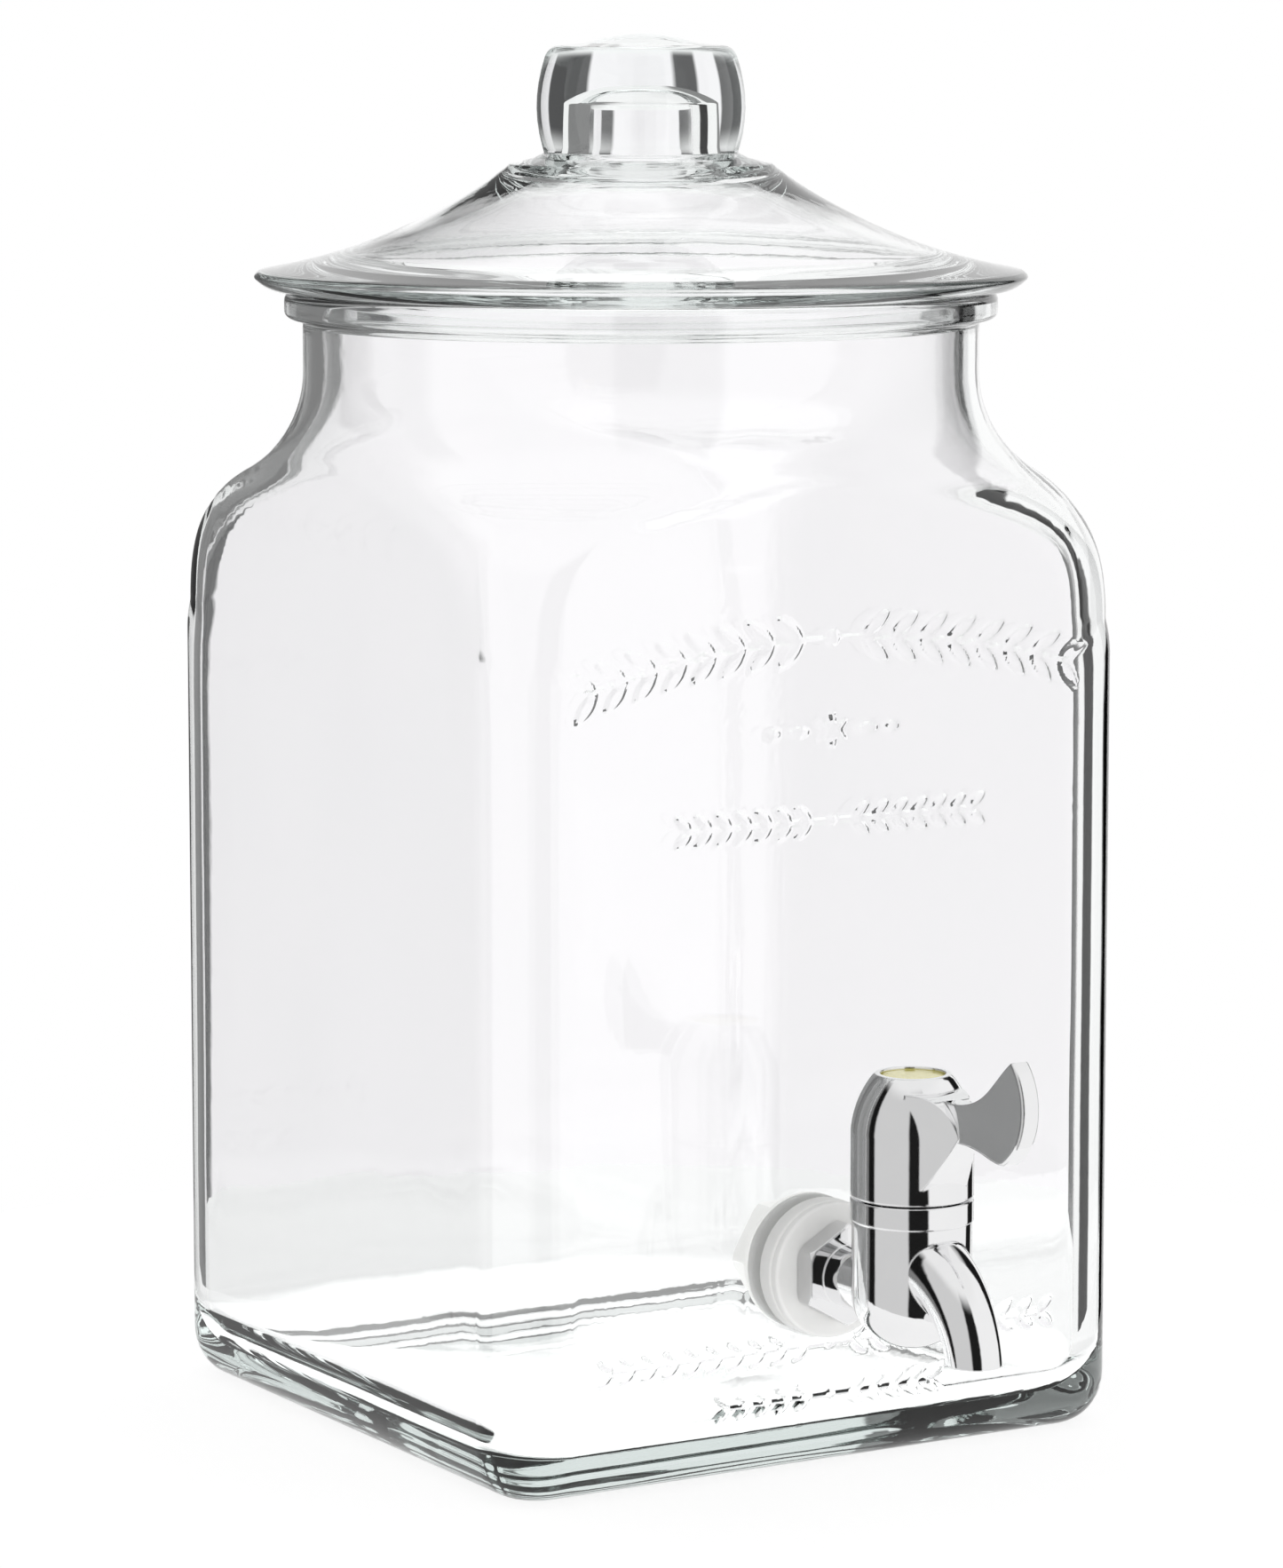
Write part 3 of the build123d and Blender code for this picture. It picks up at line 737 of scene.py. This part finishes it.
def build_world():
    """White studio surround with its cards and bands."""
    world = bpy.data.worlds.new("studio")
    bpy.context.scene.world = world
    world.use_nodes = True
    tree = world.node_tree
    tree.nodes.clear()
    place = tree.nodes.new("ShaderNodeTexCoord")
    axes = tree.nodes.new("ShaderNodeSeparateXYZ")
    link(tree, place.outputs["Generated"], axes.inputs[0])
    azimuth = math_node(tree, "ARCTAN2", axes.outputs["X"], axes.outputs["Y"])

    turn = math_node(tree, "DIVIDE", azimuth, 2 * math.pi)
    around = math_node(tree, "ADD", turn, 0.5)
    spacing = 360 / CARDS
    shifted = math_node(tree, "MULTIPLY", turn, CARDS)
    shifted = math_node(tree, "ADD", shifted, 0.5 - CARD_MIDDLE / spacing)
    between = math_node(tree, "FLOORED_MODULO", shifted, 1.0)
    edge = CARD_HALF / spacing
    card_stops = [(0, LIT), (0.5 - CARD_SOFT - edge, LIT), (0.5 - edge, CARD)]
    card_stops += [(0.5 + edge, CARD), (0.5 + CARD_SOFT + edge, LIT), (1, LIT)]
    carded = band_ramp(tree, between, card_stops)
    off_gap = math_node(tree, "SUBTRACT", azimuth, math.radians(OPEN_MIDDLE))
    off_gap = math_node(tree, "ABSOLUTE", off_gap)
    opening = tree.nodes.new("ShaderNodeMapRange")
    opening.inputs["From Min"].default_value = math.radians(OPEN_HALF - 1)
    opening.inputs["From Max"].default_value = math.radians(OPEN_HALF + 1)
    link(tree, off_gap, opening.inputs["Value"])
    gap = tree.nodes.new("ShaderNodeMix")
    gap.data_type = "RGBA"
    gap.inputs["A"].default_value = (*LIT, 1)
    link(tree, opening.outputs[0], gap.inputs["Factor"])
    link(tree, carded, gap.inputs["B"])
    through = gap.outputs["Result"]
    mirrored = band_ramp(tree, around, steps_to_stops(MIRROR_BANDS, BAND_SOFT))

    def over(source, overhead, fade):
        """Blend to the overhead brightness between two heights on the unit sphere."""
        start, end = fade
        high = tree.nodes.new("ShaderNodeMapRange")
        high.interpolation_type = "SMOOTHSTEP"
        high.inputs["From Min"].default_value = start
        high.inputs["From Max"].default_value = end
        link(tree, axes.outputs["Z"], high.inputs["Value"])
        node = tree.nodes.new("ShaderNodeMix")
        node.data_type = "RGBA"
        node.inputs["B"].default_value = (overhead,) * 3 + (1,)
        link(tree, high.outputs[0], node.inputs["Factor"])
        link(tree, source, node.inputs["A"])
        return node.outputs["Result"]

    rays = tree.nodes.new("ShaderNodeLightPath")

    def background(source, value=None):
        node = tree.nodes.new("ShaderNodeBackground")
        if source is None:
            node.inputs["Color"].default_value = (value,) * 3 + (1,)
        else:
            link(tree, source, node.inputs["Color"])
        return node.outputs[0]

    def choose(factor, off, on):
        node = tree.nodes.new("ShaderNodeMixShader")
        link(tree, factor, node.inputs[0])
        link(tree, off, node.inputs[1])
        link(tree, on, node.inputs[2])
        return node.outputs[0]

    bounced = math_node(tree, "GREATER_THAN", rays.outputs["Glossy Depth"], 0.5)
    shade = background(None, 0.95)
    cards = over(through, OVERHEAD_THROUGH, CARD_FADE_UP)
    cards = over(cards, OVERHEAD_THROUGH, CARD_FADE_DOWN)
    bands = over(mirrored, OVERHEAD_MIRRORED, BAND_FADE_UP)
    shade = choose(rays.outputs["Is Transmission Ray"], shade, background(cards))
    shade = choose(bounced, shade, background(bands))
    shade = choose(rays.outputs["Is Camera Ray"], shade, background(None, 1.0))
    out = tree.nodes.new("ShaderNodeOutputWorld")
    link(tree, shade, out.inputs["Surface"])


build_world()


def floor_disc():
    """Plain pale floor just under the base."""
    verts, faces = lathe([(0, 0), (0.12, 0), (FLOOR_RADIUS, 0)], 96)
    mesh = bpy.data.meshes.new("floor")
    mesh.from_pydata(verts, [], faces)
    obj = bpy.data.objects.new("floor", mesh)
    bpy.context.scene.collection.objects.link(obj)
    obj.location.z = cad_low.z - 0.00005
    material, tree, out = new_material("pale_floor")
    matt = tree.nodes.new("ShaderNodeBsdfDiffuse")
    matt.inputs["Color"].default_value = (0.2, 0.2, 0.2, 1)
    glow = tree.nodes.new("ShaderNodeEmission")
    rays = tree.nodes.new("ShaderNodeLightPath")
    place = tree.nodes.new("ShaderNodeTexCoord")
    away = tree.nodes.new("ShaderNodeVectorMath")
    away.operation = "LENGTH"
    link(tree, place.outputs["Object"], away.inputs[0])
    under = tree.nodes.new("ShaderNodeMapRange")
    under.interpolation_type = "SMOOTHSTEP"
    under.inputs["From Min"].default_value = UNDER_JAR[0]
    under.inputs["From Max"].default_value = UNDER_JAR[1]
    under.inputs["To Min"].default_value = FLOOR_GLOW_THROUGH
    under.inputs["To Max"].default_value = 0.0
    link(tree, away.outputs["Value"], under.inputs["Value"])
    seen_through = math_node(tree, "MULTIPLY", rays.outputs["Is Transmission Ray"], under.outputs[0])
    link(tree, math_node(tree, "ADD", seen_through, FLOOR_GLOW), glow.inputs["Strength"])
    both = tree.nodes.new("ShaderNodeAddShader")
    link(tree, matt.outputs[0], both.inputs[0])
    link(tree, glow.outputs[0], both.inputs[1])
    beyond = math_node(tree, "GREATER_THAN", away.outputs["Value"], MIRRORED_RADIUS)
    mirrored = math_node(tree, "GREATER_THAN", rays.outputs["Glossy Depth"], 0.5)
    clear = tree.nodes.new("ShaderNodeBsdfTransparent")
    shown = tree.nodes.new("ShaderNodeMixShader")
    link(tree, math_node(tree, "MULTIPLY", beyond, mirrored), shown.inputs[0])
    link(tree, both.outputs[0], shown.inputs[1])
    link(tree, clear.outputs[0], shown.inputs[2])
    link(tree, shown.outputs[0], out.inputs["Surface"])
    mesh.materials.append(material)


floor_disc()

# ---------------------------------------------------------------- camera
LENS = 135.07
CAMERA_PLACE = (-0.6955, -1.1637, 0.3311)
CAMERA_DOWN = 7.80             # degrees below level
CAMERA_TURN = -30.87           # degrees about +Z from looking along +Y

view = bpy.data.cameras.new("camera")
view.sensor_width = 36
view.sensor_fit = "AUTO"
view.lens = LENS
view.dof.use_dof = False
camera = bpy.data.objects.new("camera", view)
bpy.context.scene.collection.objects.link(camera)
camera.location = CAMERA_PLACE
camera.rotation_euler = (math.radians(90 - CAMERA_DOWN), 0, math.radians(CAMERA_TURN))
bpy.context.scene.camera = camera

scene = bpy.context.scene
scene.view_settings.view_transform = "Standard"
scene.cycles.max_bounces = 24
scene.cycles.transmission_bounces = 24
scene.cycles.glossy_bounces = 10
